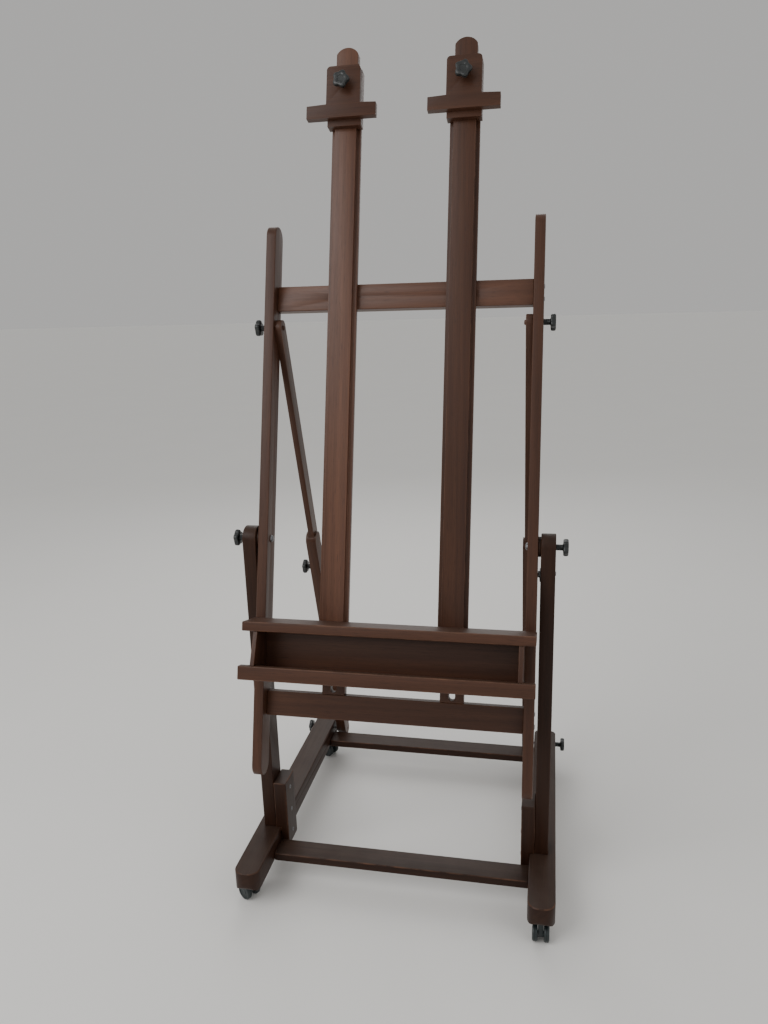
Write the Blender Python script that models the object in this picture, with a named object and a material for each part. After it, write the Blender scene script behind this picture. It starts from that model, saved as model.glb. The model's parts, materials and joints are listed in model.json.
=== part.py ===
"""Wooden studio easel: a caster base, a tilting H-shaped frame, two sliding
masts with canvas holders, a sliding tray and two telescoping rear braces.

Lengths below are in millimetres and are turned into metres when a mesh is made.
X is to the right, Y is to the rear, Z is up, and the floor is Z = 0.
Pieces of the tilting frame are drawn in the frame's own axes, with Z up along
the uprights and the origin on the tilt pivot, and hang on the tilt_axis empty.
"""
import math

import bmesh
import bpy
from mathutils import Matrix, Vector

MM = 0.001
GAP = 0.3

# base
RUNNER_IN = 292.0
RUNNER_OUT = 350.0
RUNNER_HALF = 355.0
RUNNER_LOW = 53.0
RUNNER_TOP = 100.6
CASTER_X = 321.0
CASTER_Y = 309.0
CASTER_TRAIL = 16.0
WHEEL_R = 19.0
POST_IN = 303.7
POST_OUT = 333.6
POST_DEPTH = 56.0

# tilting frame
PIVOT_Y = -157.3
PIVOT_Z = 814.3
LEAN = 16.1
UPRIGHT_IN = 276.7
UPRIGHT_OUT = 298.0
UPRIGHT_HALF = 24.9
UPRIGHT_LOW = -515.0
UPRIGHT_TOP = 684.0
TOP_BAR = (498.6, 552.6)
LOW_BAR = (-385.0, -331.8)
MAST_X = 127.5
MAST_TIP = 1056.0
MAST_LOW = -270.0
TRAY_LEDGE = (-190.0, -170.3)
TRAY_LOW = -288.0

# braces
BRACE_HEAD = 462.0
BRACE_FOOT_Y = 336.0
BRACE_FOOT_Z = 70.0
LINK_IN = 262.4
LINK_OUT = 276.4
CHANNEL_IN = 258.0
CHANNEL_OUT = 284.0
CHANNEL_LEN = 706.0
LINK_LEN = 690.0
MID_KNOB = 597.0

WOOD = (0.115, 0.055, 0.035)
BLACK = (0.02, 0.022, 0.022)
STEEL = (0.3, 0.3, 0.31)


def clear_scene():
    for old in list(bpy.data.objects):
        bpy.data.objects.remove(old, do_unlink=True)


def material(name, colour, rough, metal=0.0):
    made = bpy.data.materials.new(name)
    made.use_nodes = True
    shader = made.node_tree.nodes["Principled BSDF"]
    shader.inputs["Base Color"].default_value = (*colour, 1.0)
    shader.inputs["Roughness"].default_value = rough
    shader.inputs["Metallic"].default_value = metal
    return made


def prism(outline, low, high, axis="Z"):
    """Extrude an outline (a, b) from low to high along an axis.
    The outline's own axes follow X, Y, Z order with the extruded one left out."""
    made = bmesh.new()
    rings = []
    for level in (low, high):
        ring = []
        for a, b in outline:
            place = {"X": (level, a, b), "Y": (a, level, b), "Z": (a, b, level)}[axis]
            ring.append(made.verts.new(Vector(place) * MM))
        rings.append(ring)
    count = len(outline)
    made.faces.new(rings[0])
    made.faces.new(rings[1])
    for i in range(count):
        j = (i + 1) % count
        made.faces.new((rings[0][i], rings[0][j], rings[1][j], rings[1][i]))
    bmesh.ops.recalc_face_normals(made, faces=made.faces)
    return made


def box(x0, x1, y0, y1, z0, z1):
    return prism([(x0, y0), (x1, y0), (x1, y1), (x0, y1)], z0, z1)


def turned(profile, centre, axis, sides=24):
    """Revolve (radius, distance) pairs round an axis line through centre."""
    made = bmesh.new()
    rings = []
    for radius, along in profile:
        ring = []
        for i in range(sides):
            turn = 2.0 * math.pi * i / sides
            a = radius * math.cos(turn)
            b = radius * math.sin(turn)
            place = {"X": (along, a, b), "Y": (a, along, b), "Z": (a, b, along)}[axis]
            ring.append(made.verts.new((Vector(centre) + Vector(place)) * MM))
        rings.append(ring)
    for low, high in zip(rings, rings[1:]):
        for i in range(sides):
            j = (i + 1) % sides
            made.faces.new((low[i], low[j], high[j], high[i]))
    made.faces.new(rings[0])
    made.faces.new(rings[-1])
    bmesh.ops.recalc_face_normals(made, faces=made.faces)
    return made


def rod(radius, x0, x1, y, z, sides=20):
    """A plain round bar along X."""
    return turned([(radius, x0), (radius, x1)], (0.0, y, z), "X", sides)


def arc(cx, cy, radius, start, end, steps):
    """Points on an arc, with angles in degrees."""
    points = []
    for i in range(steps + 1):
        turn = math.radians(start + (end - start) * i / steps)
        points.append((cx + radius * math.cos(turn), cy + radius * math.sin(turn)))
    return points


def raw_object(name, mesh_data):
    mesh = bpy.data.meshes.new(name)
    mesh_data.to_mesh(mesh)
    mesh_data.free()
    made = bpy.data.objects.new(name, mesh)
    bpy.context.scene.collection.objects.link(made)
    return made


def solid(name, mesh_data, slot, origin=(0, 0, 0), cuts=(), adds=(), bevel=0.0, parent=None):
    """Make one closed piece, with its origin moved to the given point."""
    shift = Matrix.Translation(-Vector(origin) * MM)
    mesh_data.transform(shift)
    made = raw_object(name, mesh_data)
    made.location = Vector(origin) * MM
    made.parent = parent
    made.data.materials.append(slot)
    if bevel:
        soft = made.modifiers.new("edges", "BEVEL")
        soft.width = bevel * MM
        soft.segments = 1
        soft.limit_method = "ANGLE"
        soft.angle_limit = math.radians(50)
    for operation, group in (("UNION", adds), ("DIFFERENCE", cuts)):
        for number, other in enumerate(group):
            other.transform(shift)
            tool = raw_object(name + "_" + operation.lower() + str(number), other)
            tool.location = Vector(origin) * MM
            tool.parent = parent
            tool.hide_render = True
            tool.display_type = "WIRE"
            change = made.modifiers.new(operation.lower(), "BOOLEAN")
            change.operation = operation
            change.solver = "EXACT"
            change.object = tool
    return made


def both(make):
    """Call make(side, sign) for the left and the right of the easel."""
    make("left", -1.0)
    make("right", 1.0)


def span(sign, inner, outer):
    """A low-to-high X range on the given side."""
    return tuple(sorted((sign * inner, sign * outer)))


def star_knob(name, slot, centre, axis, sign, bore=4.0, screw=0.0, parent=None):
    """A five-lobed hand knob whose hub starts at centre and points along sign * axis.
    screw is how far a fixed screw reaches back; without it the hub has a bore."""
    head = []
    for i in range(30):
        turn = 2.0 * math.pi * i / 30
        reach = 16.5 + 2.0 * math.cos(5.0 * turn)
        head.append((reach * math.cos(turn), reach * math.sin(turn)))
    near = 14.0 * sign
    far = 25.0 * sign
    made = prism(head, min(near, far), max(near, far), axis)
    made.transform(Matrix.Translation(Vector(centre) * MM))
    hub = turned([(6.5, 0.0), (6.5, 15.0 * sign)], centre, axis, 20)
    adds = [hub]
    cuts = []
    if screw:
        adds.append(turned([(3.0, -screw * sign), (3.0, 5.0 * sign)], centre, axis, 16))
    else:
        cuts.append(turned([(bore + GAP, -1.0 * sign), (bore + GAP, 10.3 * sign)], centre, axis, 20))
    return solid(name, made, slot, centre, cuts, adds, 0.0, parent)


def build_base(wood, black, steel):
    toe = 24.0
    heel = 12.0
    nose = 17.0

    def runner(side, sign):
        x0, x1 = span(sign, RUNNER_IN, RUNNER_OUT)
        y0, y1 = -RUNNER_HALF, RUNNER_HALF
        outline = arc(x1 - toe, y0 + toe, toe, -90, 0, 7)
        outline += arc(x1 - heel, y1 - heel, heel, 0, 90, 5)
        outline += arc(x0 + heel, y1 - heel, heel, 90, 180, 5)
        outline += arc(x0 + toe, y0 + toe, toe, 180, 270, 7)
        cuts = [rod(4.3, x0 - 5, x1 + 5, BRACE_FOOT_Y, BRACE_FOOT_Z)]
        under = [(y0 - 5, RUNNER_LOW - 5), (y0 + nose, RUNNER_LOW - 5)]
        under += arc(y0 + nose, RUNNER_LOW + nose, nose, 270, 180, 7)
        under += [(y0 - 5, RUNNER_LOW + nose)]
        cuts.append(prism(under, x0 - 5, x1 + 5, "X"))
        for y in (-CASTER_Y, CASTER_Y):
            socket = [(4.3, RUNNER_LOW - 1), (4.3, RUNNER_LOW + 4.0)]
            cuts.append(turned(socket, (sign * CASTER_X, y, 0), "Z", 20))
        solid("runner_" + side, prism(outline, RUNNER_LOW, RUNNER_TOP), wood,
              (sign * CASTER_X, 0, RUNNER_LOW), cuts, (), 2.0)

    both(runner)
    reach = RUNNER_IN - GAP
    solid("crossbar_front", box(-reach, reach, -242.5, -187.7, RUNNER_LOW, 72), wood,
          (0, -215, RUNNER_LOW), bevel=1.5)
    solid("crossbar_rear", box(-reach, reach, 257, 310, RUNNER_LOW, 72), wood,
          (0, 284, RUNNER_LOW), bevel=1.5)

    def post(side, sign):
        x0, x1 = span(sign, POST_IN, POST_OUT)
        half = POST_DEPTH / 2
        outline = [(PIVOT_Y - half, RUNNER_TOP + GAP), (PIVOT_Y + half, RUNNER_TOP + GAP)]
        outline += arc(PIVOT_Y, PIVOT_Z, half, 0, 180, 14)
        cuts = [rod(4.3, x0 - 5, x1 + 5, PIVOT_Y, PIVOT_Z)]
        cuts.append(rod(5.3, x0 - 5, x1 + 5, PIVOT_Y, PIVOT_Z - 57))
        solid("post_" + side, prism(outline, x0, x1, "X"), wood,
              (sign * 318, PIVOT_Y, RUNNER_TOP), cuts, (), 1.5)

    both(post)

    def block(side, sign):
        x0, x1 = span(sign, 273.0, POST_IN - GAP)
        top = 220.7
        outline = [(sign * 273.0, RUNNER_LOW), (sign * (RUNNER_IN - GAP), RUNNER_LOW),
                   (sign * (RUNNER_IN - GAP), RUNNER_TOP + GAP),
                   (sign * (POST_IN - GAP), RUNNER_TOP + GAP),
                   (sign * (POST_IN - GAP), top), (sign * 273.0, top)]
        solid("block_" + side, prism(outline, -187.4, -125.3, "Y"), wood,
              ((x0 + x1) / 2, -156, top), bevel=1.5)

    both(block)

    def pivot_parts(side, sign):
        at = (0.0, PIVOT_Y, PIVOT_Z)
        x_head = sign * (UPRIGHT_IN - GAP)
        profile = [(3.0, sign * 271.5), (6.0, sign * 272.5), (8.0, sign * 274.0), (8.0, x_head),
                   (4.0, x_head), (4.0, sign * 343.5)]
        solid("pivot_bolt_" + side, turned(profile, at, "X", 20), steel,
              (sign * 318, PIVOT_Y, PIVOT_Z))
        x0, x1 = span(sign, UPRIGHT_OUT + GAP, POST_IN - GAP)
        solid("spacer_" + side, rod(21, x0, x1, PIVOT_Y, PIVOT_Z, 32), wood,
              (sign * 300, PIVOT_Y, PIVOT_Z), [rod(4.3, x0 - 5, x1 + 5, PIVOT_Y, PIVOT_Z)])
        star_knob("pivot_knob_" + side, black, (sign * (POST_OUT + GAP), PIVOT_Y, PIVOT_Z),
                  "X", sign)
        x0, x1 = span(sign, 298.4, POST_OUT + 1.5)
        solid("stop_pin_" + side, rod(5.0, x0, x1, PIVOT_Y, PIVOT_Z - 57), steel,
              (sign * 310, PIVOT_Y, PIVOT_Z - 57))
        foot = (sign * (RUNNER_OUT + GAP), BRACE_FOOT_Y, BRACE_FOOT_Z)
        star_knob("rear_knob_" + side, black, foot, "X", sign, screw=88.0)

    both(pivot_parts)


def build_casters(black):
    heading = {"front_left": 150.0, "front_right": -90.0, "rear_left": -25.0, "rear_right": -90.0}
    for place, turn in heading.items():
        sign = -1.0 if "left" in place else 1.0
        y = -CASTER_Y if "front" in place else CASTER_Y
        stem = (sign * CASTER_X, y, 0.0)
        facing = math.radians(turn)
        spin = Matrix.Translation(Vector(stem) * MM) @ Matrix.Rotation(facing, 4, "Z")
        spine = [(CASTER_TRAIL - 7, 12), (-11, 40), (-11, 48), (CASTER_TRAIL + 6, 48)]
        spine += arc(CASTER_TRAIL, WHEEL_R, 10, 40, -140, 8)
        fork = prism(spine, -6.0, 6.0, "Y")
        axle_hole = turned([(3.3, -20), (3.3, 20)], (CASTER_TRAIL, 0, WHEEL_R), "Y", 16)
        post = turned([(4.0, 45), (4.0, 56.5)], (0, 0, 0), "Z", 20)
        collar = turned([(13.0, 41.5), (13.0, 51.5)], (0, 0, 0), "Z", 24)
        for made in (fork, axle_hole, post, collar):
            made.transform(spin)
        solid("caster_fork_" + place, fork, black, stem, [axle_hole], [post, collar])
        half = [(3.0, 6.5), (WHEEL_R - 2, 6.5), (WHEEL_R, 8.0), (WHEEL_R, 15.0),
                (WHEEL_R - 3, 18.0)]
        rings = [(radius, -along) for radius, along in reversed(half)] + half
        wheel = turned(rings, (CASTER_TRAIL, 0, WHEEL_R), "Y", 32)
        wheel.transform(spin)
        centre = (stem[0] + CASTER_TRAIL * math.cos(facing),
                  stem[1] + CASTER_TRAIL * math.sin(facing), WHEEL_R)
        solid("caster_wheel_" + place, wheel, black, centre)


def build_frame(wood, black, tilt):
    def upright(side, sign):
        x0, x1 = span(sign, UPRIGHT_IN, UPRIGHT_OUT)
        half = UPRIGHT_HALF
        outline = arc(0, UPRIGHT_LOW + half, half, 180, 360, 14)
        outline += arc(0, UPRIGHT_TOP - half, half, 0, 180, 14)
        cuts = [rod(4.3, x0 - 5, x1 + 5, 0, 0)]
        cuts.append(rod(3.3, x0 - 5, x1 + 5, 0, BRACE_HEAD))
        solid("upright_" + side, prism(outline, x0, x1, "X"), wood, (0, 0, 0), cuts, (), 1.2, tilt)
        knob = (sign * (UPRIGHT_OUT + GAP), 0, BRACE_HEAD)
        star_knob("upper_knob_" + side, black, knob, "X", sign, screw=20.8, parent=tilt)

    both(upright)
    reach = UPRIGHT_IN - GAP
    holes = []
    for sign in (-1, 1):
        holes.append(turned([(3.3, -5), (3.3, 30)], (sign * MAST_X, 0, sum(TOP_BAR) / 2), "Y", 16))
    solid("top_crossbar", box(-reach, reach, 0, 23, *TOP_BAR), wood, (0, 0, TOP_BAR[0]),
          holes, (), 1.2, tilt)
    solid("bottom_crossbar", box(-reach, reach, 0, 23, *LOW_BAR), wood, (0, 0, LOW_BAR[0]),
          (), (), 1.2, tilt)

    def rail(side, sign):
        x = sign * MAST_X
        low = LOW_BAR[1] + GAP
        high = TOP_BAR[0] - GAP
        slot = arc(x, 465, 7, 0, 180, 8) + arc(x, -320, 7, 180, 360, 8)
        solid("rail_" + side, box(x - 25, x + 25, 0.3, 20, low, high), wood, (x, 0, low),
              [prism(slot, -5, 30, "Y")], (), 0.8, tilt)

    both(rail)


def build_masts(wood, black, tilt):
    wide_top = 985.0

    def mast(side, sign):
        x = sign * MAST_X
        outline = [(-31.5, -0.5), (-31.5, -12.5), (-23.5, -12.5), (-23.5, -22.5),
                   (23.5, -22.5), (23.5, -12.5), (31.5, -12.5), (31.5, -0.5),
                   (4, -0.5), (4, -3.5), (7.5, -3.5), (7.5, -9.5),
                   (-7.5, -9.5), (-7.5, -3.5), (-4, -3.5), (-4, -0.5)]
        outline = [(x + a, b) for a, b in outline]
        rise = 13.5
        radius = (23.5 ** 2 + rise ** 2) / (2 * rise)
        angle = math.degrees(math.asin(23.5 / radius))
        crown = [(x + 60, wide_top - 100), (x + 60, 1200), (x - 60, 1200), (x - 60, wide_top - 100)]
        crown = [(x + 60, wide_top), (x + 60, 1200), (x - 60, 1200), (x - 60, wide_top),
                 (x - 23.5, wide_top), (x - 23.5, MAST_TIP - rise)]
        crown += arc(x, MAST_TIP - radius, radius, 90 + angle, 90 - angle, 10)[1:-1]
        crown += [(x + 23.5, MAST_TIP - rise), (x + 23.5, wide_top)]
        solid("mast_" + side, prism(outline, MAST_LOW, 1080), wood, (x, 0, MAST_LOW),
              [prism(crown, -40, 20, "Y")], (), 0, tilt)
        bolt = sum(TOP_BAR) / 2
        knob = star_knob("mast_knob_" + side, black, (x, 23 + GAP, bolt), "Y", 1, screw=28.0,
                         parent=tilt)
        return knob

    both(mast)

    def holder(side, sign):
        x = sign * MAST_X
        bar = x - 4.0 if sign < 0 else x
        plate = [(bar - 75, 893), (bar + 75, 893), (bar + 75, 920), (x + 36.5, 922)]
        plate += arc(x + 28.5, 994, 8, 0, 90, 5)
        plate += arc(x - 28.5, 994, 8, 90, 180, 5)
        plate += [(x - 36.5, 922), (bar - 75, 920)]
        back = box(x - 36.5, x + 36.5, -36, -23, 881, 998)
        low_left = box(x - 36.5, x - 23.9, -24, -12.8, 881, 998)
        low_right = box(x + 23.9, x + 36.5, -24, -12.8, 881, 998)
        hole = turned([(3.3, -60), (3.3, -10)], (x, 0, 962), "Y", 16)
        solid("holder_" + side, prism(plate, -51, -35, "Y"), wood, (x, -23, 893),
              [hole], [back, low_left, low_right], 0, tilt)
        star_knob("holder_knob_" + side, black, (x, -51 - GAP, 962), "Y", -1, screw=27.9,
                  parent=tilt)

    both(holder)


def build_tray(wood, black, tilt):
    at = (0, -25.2, TRAY_LOW)
    solid("tray_ledge", box(-300, 300, -102, -25.2, *TRAY_LEDGE), wood, at, (), (), 1.5, tilt)
    solid("tray_lip", box(-300.7, 300.7, -119.4, -101, TRAY_LOW, -259.3), wood, at,
          (), (), 1.5, tilt)
    solid("tray_back", box(-276, 276, -37, -25.2, TRAY_LOW, TRAY_LEDGE[0] - GAP), wood, at,
          (), (), 0.8, tilt)
    solid("tray_bottom", box(-276, 276, -100.7, -37.3, TRAY_LOW, -278), wood, at,
          (), (), 0.8, tilt)
    top = TRAY_LEDGE[0] - GAP

    def end_panel(side, sign):
        x0, x1 = span(sign, 267, 276)
        outline = [(-37.3, top), (-98, top), (-115, -259), (-100.7, -259), (-100.7, -277.7),
                   (-37.3, -277.7)]
        solid("tray_end_" + side, prism(outline, x0, x1, "X"), wood, at, (), (), 0.6, tilt)

    both(end_panel)

    def carriage(side, sign):
        x = sign * MAST_X
        outline = [(-41.8, -24.9), (-31.8, -24.9), (-31.8, 20.3), (31.8, 20.3), (31.8, -24.9),
                   (41.8, -24.9), (41.8, 34), (-41.8, 34)]
        outline = [(x + a, b) for a, b in outline]
        hole = turned([(3.3, 10), (3.3, 40)], (x, 0, -240), "Y", 16)
        solid("carriage_" + side, prism(outline, -280, -200), wood, (x, 0, -240), [hole], (),
              0.8, tilt)
        star_knob("carriage_knob_" + side, black, (x, 34 + GAP, -240), "Y", 1, screw=33.0,
                  parent=tilt)

    both(carriage)


def build_braces(wood, black, foot):
    """Both links of a brace lie along the brace's own Z axis, from the lower pivot up."""
    head = Vector((PIVOT_Y, PIVOT_Z)) + BRACE_HEAD * Vector(
        (math.sin(math.radians(LEAN)), math.cos(math.radians(LEAN))))
    run = head - Vector((BRACE_FOOT_Y, BRACE_FOOT_Z))
    length = run.length

    def links(side, sign):
        x0, x1 = span(sign, LINK_IN, LINK_OUT)
        low = length - LINK_LEN
        outline = [(-17, low), (17, low)] + arc(0, length, 17, 0, 180, 12)
        cap = [(3.0, sign * 258.5), (5.5, sign * 259.8), (5.5, sign * 265.0)]
        solid("upper_link_" + side, prism(outline, x0, x1, "X"), wood, (0, 0, length), (),
              [turned(cap, (0, 0, length), "X", 16)], 0, foot)
        x0, x1 = span(sign, CHANNEL_IN, CHANNEL_OUT)
        outline = arc(0, 0, 16, -180, 0, 10) + [(17.3, 16), (17.3, 690)]
        outline += arc(-2.85, 686, 20.15, 0, 180, 12)[1:] + [(-23, 16)]
        hollow = span(sign, LINK_IN - GAP, LINK_OUT + GAP)
        trough = box(hollow[0], hollow[1], -17.3, 40, 24, 760)
        mid = rod(3.3, *span(sign, LINK_OUT, CHANNEL_OUT + 5), 0, MID_KNOB, 16)
        pin = rod(3.3, *span(sign, CHANNEL_IN - 5, CHANNEL_OUT + 5), 0, 0, 16)
        solid("lower_link_" + side, prism(outline, x0, x1, "X"), wood, (0, 0, 0),
              [trough, mid, pin], (), 0, foot)
        star_knob("mid_knob_" + side, black, (sign * (CHANNEL_OUT + GAP), 0, MID_KNOB), "X", sign,
                  screw=7.4, parent=foot)

    both(links)
    foot.rotation_euler = (math.atan2(-run.x, run.y), 0, 0)


def main():
    clear_scene()
    wood = material("walnut_stained_wood", WOOD, 0.42)
    black = material("black_plastic", BLACK, 0.45)
    steel = material("dark_steel", STEEL, 0.35, 1.0)
    tilt = bpy.data.objects.new("tilt_axis", None)
    bpy.context.scene.collection.objects.link(tilt)
    tilt.location = Vector((0, PIVOT_Y, PIVOT_Z)) * MM
    tilt.rotation_euler = (math.radians(-LEAN), 0, 0)
    foot = bpy.data.objects.new("brace_axis", None)
    bpy.context.scene.collection.objects.link(foot)
    foot.location = Vector((0, BRACE_FOOT_Y, BRACE_FOOT_Z)) * MM
    build_base(wood, black, steel)
    build_casters(black)
    build_frame(wood, black, tilt)
    build_masts(wood, black, tilt)
    build_tray(wood, black, tilt)
    build_braces(wood, black, foot)


main()
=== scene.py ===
"""Studio easel in dark stained wood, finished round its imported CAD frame."""
import json
import math

import bmesh
import bpy
from mathutils import Matrix, Vector


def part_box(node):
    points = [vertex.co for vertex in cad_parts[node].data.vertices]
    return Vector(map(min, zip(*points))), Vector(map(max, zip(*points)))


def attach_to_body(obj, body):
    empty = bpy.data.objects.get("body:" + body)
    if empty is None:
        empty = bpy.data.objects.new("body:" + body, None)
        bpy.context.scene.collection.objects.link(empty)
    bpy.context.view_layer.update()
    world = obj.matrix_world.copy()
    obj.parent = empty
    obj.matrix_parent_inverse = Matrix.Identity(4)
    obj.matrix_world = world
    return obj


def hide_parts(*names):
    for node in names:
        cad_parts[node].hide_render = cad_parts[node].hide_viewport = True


bl_info = {
    "name": "Studio easel",
    "version": (1, 0, 0),
    "blender": (4, 5, 0),
    "location": "3D View > Sidebar > Easel",
    "description": "Stained wood, star knobs, casters and fittings for a tilting studio easel",
    "category": "Object",
}

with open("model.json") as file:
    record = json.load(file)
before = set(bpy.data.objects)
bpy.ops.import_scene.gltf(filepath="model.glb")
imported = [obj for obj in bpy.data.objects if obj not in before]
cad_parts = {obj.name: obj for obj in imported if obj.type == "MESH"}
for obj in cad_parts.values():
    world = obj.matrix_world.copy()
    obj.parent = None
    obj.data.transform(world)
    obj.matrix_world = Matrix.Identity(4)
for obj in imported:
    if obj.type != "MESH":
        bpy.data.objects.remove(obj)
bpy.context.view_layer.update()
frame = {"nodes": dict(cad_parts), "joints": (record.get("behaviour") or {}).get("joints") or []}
SIDES = (("left", -1.0), ("right", 1.0))
CORNERS = ("front_left", "front_right", "rear_left", "rear_right")
JOINTS = {joint["name"]: joint for joint in frame["joints"]}
FRAME_UP = Vector(JOINTS["tray_slide"]["axis"]).normalized()
FRAME_BACK = Vector((0.0, FRAME_UP.z, -FRAME_UP.y))
BRACE_UP = Vector(JOINTS["upper_link_left_slide"]["axis"]).normalized()
PIVOT = Vector(JOINTS["frame_tilt"]["pos_m"])
CAMERA_PLACE = (0.3176, -1.7721, 1.3257)
CAMERA_TURN = (11.9, 15.1, -1.8)  # yaw, pitch and roll in degrees


# ---------------------------------------------------------------- node helpers

def add(tree, kind, label="", **settings):
    """Place a node and set its properties; keys are attribute names."""
    node = tree.nodes.new(kind)
    node.label = label
    for key, value in settings.items():
        setattr(node, key, value)
    return node


def feed(tree, node, **values):
    """Fill a node's sockets by name, with an output socket to link or a plain value."""
    for key, value in values.items():
        socket = node.inputs[key.replace("_", " ")]
        if isinstance(value, bpy.types.NodeSocket):
            tree.links.new(value, socket)
        else:
            socket.default_value = value
    return node


def calc(tree, operation, first, second=0.0, label=""):
    """A math node; each term is a number or an output socket."""
    node = add(tree, "ShaderNodeMath", label, operation=operation)
    for socket, value in zip(node.inputs, (first, second)):
        if isinstance(value, bpy.types.NodeSocket):
            tree.links.new(value, socket)
        else:
            socket.default_value = value
    return node.outputs[0]


def ramp(tree, value, low, high, out_low=0.0, out_high=1.0):
    """Map low..high to out_low..out_high with the ends held."""
    node = add(tree, "ShaderNodeMapRange", clamp=True)
    for socket, term in zip(node.inputs[:5], (value, low, high, out_low, out_high)):
        if isinstance(term, bpy.types.NodeSocket):
            tree.links.new(term, socket)
        else:
            socket.default_value = term
    return node.outputs[0]


def blend_colour(tree, factor, first, second, mode="MIX"):
    """Mix two colours; each is an output socket or an RGB triple."""
    node = add(tree, "ShaderNodeMix", data_type="RGBA", blend_type=mode)
    for socket, value in zip((node.inputs[0], node.inputs[6], node.inputs[7]),
                             (factor, first, second)):
        if isinstance(value, bpy.types.NodeSocket):
            tree.links.new(value, socket)
        elif isinstance(value, (int, float)):
            socket.default_value = value
        else:
            socket.default_value = (*value[:3], 1.0)
    return node.outputs[2]


def noise(tree, vector, scale, detail=3.0, rough=0.5, label=""):
    """A noise texture's value."""
    node = add(tree, "ShaderNodeTexNoise", label)
    feed(tree, node, Vector=vector, Scale=scale, Detail=detail, Roughness=rough)
    return node.outputs["Fac"]


def stretch(tree, vector, sizes):
    """Multiply a vector by a fixed size on each axis."""
    node = add(tree, "ShaderNodeVectorMath", operation="MULTIPLY")
    tree.links.new(vector, node.inputs[0])
    node.inputs[1].default_value = sizes
    return node.outputs[0]


def shader_group(name, inputs, outputs):
    """A shader node group with named float or vector sockets."""
    tree = bpy.data.node_groups.new(name, "ShaderNodeTree")
    for label, kind, value in inputs:
        socket = tree.interface.new_socket(label, in_out="INPUT", socket_type=kind)
        if value is not None:
            socket.default_value = value
    for label, kind in outputs:
        tree.interface.new_socket(label, in_out="OUTPUT", socket_type=kind)
    return tree, add(tree, "NodeGroupInput").outputs, add(tree, "NodeGroupOutput").inputs


# ------------------------------------------------------------- surface effects

def grain_group():
    """Straight grain running along Z: broad figure, fine fibre and short pores."""
    tree, given, out = shader_group(
        "wood_grain",
        [("Vector", "NodeSocketVector", None), ("Pore Amount", "NodeSocketFloat", 0.5)],
        [("Figure", "NodeSocketFloat"), ("Fibre", "NodeSocketFloat"),
         ("Pores", "NodeSocketFloat"), ("Height", "NodeSocketFloat")])
    vector = given["Vector"]
    sway = noise(tree, stretch(tree, vector, (6.0, 6.0, 1.6)), 1.0, 2.0, label="sway")
    broad = noise(tree, stretch(tree, vector, (34.0, 34.0, 1.7)), 1.0, 4.0, 0.55, "boards")
    rings = add(tree, "ShaderNodeTexWave", "growth rings", wave_type="BANDS",
                bands_direction="DIAGONAL")
    feed(tree, rings, Vector=stretch(tree, vector, (1.0, 1.0, 0.03)), Scale=30.0,
         Distortion=7.0, Detail=3.0, Detail_Scale=1.2)
    mixed = calc(tree, "MULTIPLY_ADD", rings.outputs["Fac"], 0.10)
    tree.links.new(calc(tree, "MULTIPLY", broad, 0.6), mixed.node.inputs[2])
    figure = calc(tree, "MULTIPLY_ADD", sway, 0.45)
    tree.links.new(mixed, figure.node.inputs[2])
    fibre = noise(tree, stretch(tree, vector, (520.0, 520.0, 9.0)), 1.0, 3.0, 0.6, "fibre")
    dots = noise(tree, stretch(tree, vector, (900.0, 900.0, 42.0)), 1.0, 1.0, 0.5, "pores")
    pores = ramp(tree, dots, 0.60, 0.72)
    pores = calc(tree, "MULTIPLY", pores, given["Pore Amount"])
    height = calc(tree, "SUBTRACT", calc(tree, "MULTIPLY", fibre, 0.45), pores)
    tree.links.new(ramp(tree, figure, 0.32, 0.86), out["Figure"])
    tree.links.new(fibre, out["Fibre"])
    tree.links.new(pores, out["Pores"])
    tree.links.new(height, out["Height"])
    return tree


def wear_group():
    """Breaks an edge mask up so that rubbed arrises look handled, not painted on."""
    tree, given, out = shader_group(
        "edge_wear",
        [("Vector", "NodeSocketVector", None), ("Edge", "NodeSocketFloat", 0.0),
         ("Amount", "NodeSocketFloat", 0.5)],
        [("Wear", "NodeSocketFloat")])
    patches = ramp(tree, noise(tree, given["Vector"], 26.0, 4.0, 0.6), 0.38, 0.72)
    wear = calc(tree, "MULTIPLY", calc(tree, "MULTIPLY", given["Edge"], patches), given["Amount"])
    tree.links.new(wear, out["Wear"])
    return tree


def dust_and_sheen_group():
    """A thin film of dust together with a painted greyish sheen on faces turned upwards, lightening
    the tops as if they caught the light.
    """
    tree, given, out = shader_group(
        "settled_dust_and_sheen",
        [("Vector", "NodeSocketVector", None), ("Normal", "NodeSocketVector", None),
         ("Amount", "NodeSocketFloat", 0.3)],
        [("Dust and sheen", "NodeSocketFloat")])
    split = add(tree, "ShaderNodeSeparateXYZ")
    tree.links.new(given["Normal"], split.inputs[0])
    up = ramp(tree, split.outputs["Z"], 0.45, 0.98)
    cloud = ramp(tree, noise(tree, given["Vector"], 14.0, 5.0, 0.6), 0.3, 0.75, 0.35, 1.0)
    dust_and_sheen = calc(tree, "MULTIPLY", calc(tree, "MULTIPLY", up, cloud), given["Amount"])
    tree.links.new(dust_and_sheen, out["Dust and sheen"])
    return tree


def moulded_group():
    """The slight orange peel and scuffs of a moulded plastic skin."""
    tree, given, out = shader_group(
        "moulded_skin",
        [("Vector", "NodeSocketVector", None), ("Scuffs", "NodeSocketFloat", 0.5)],
        [("Scuff", "NodeSocketFloat"), ("Height", "NodeSocketFloat")])
    peel = noise(tree, given["Vector"], 900.0, 2.0, 0.5, "peel")
    scuff = ramp(tree, noise(tree, given["Vector"], 120.0, 5.0, 0.65), 0.5, 0.8)
    tree.links.new(calc(tree, "MULTIPLY", scuff, given["Scuffs"]), out["Scuff"])
    tree.links.new(peel, out["Height"])
    return tree


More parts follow.
